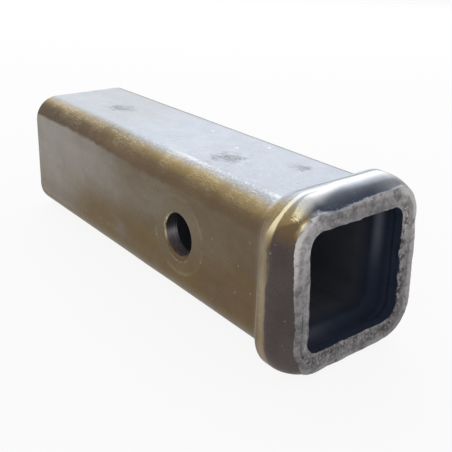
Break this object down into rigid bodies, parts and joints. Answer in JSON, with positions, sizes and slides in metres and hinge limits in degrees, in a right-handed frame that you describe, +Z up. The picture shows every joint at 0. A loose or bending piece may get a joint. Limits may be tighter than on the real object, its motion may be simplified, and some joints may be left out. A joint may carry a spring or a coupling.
{
  "type": "hitch receiver tube",
  "caption": "Square steel hitch receiver tube with rounded corners, a formed collar bead at its mouth and a cross pin hole, for welding into a tow hitch.",
  "frame": {"origin": "middle of the cross pin hole, on the tube's centre line", "axes": "+X along the tube towards the mouth with the collar, +Y along the pin hole, +Z up with the tube lying on its side as it is used"},
  "size_m": [0.216, 0.074, 0.074],
  "materials": {
    "raw_steel": "raw mill steel, lightly oiled, with handling scuffs"
  },
  "bodies": {
    "root": {"receiver_tube": "raw_steel"}
  },
  "joints": []
}
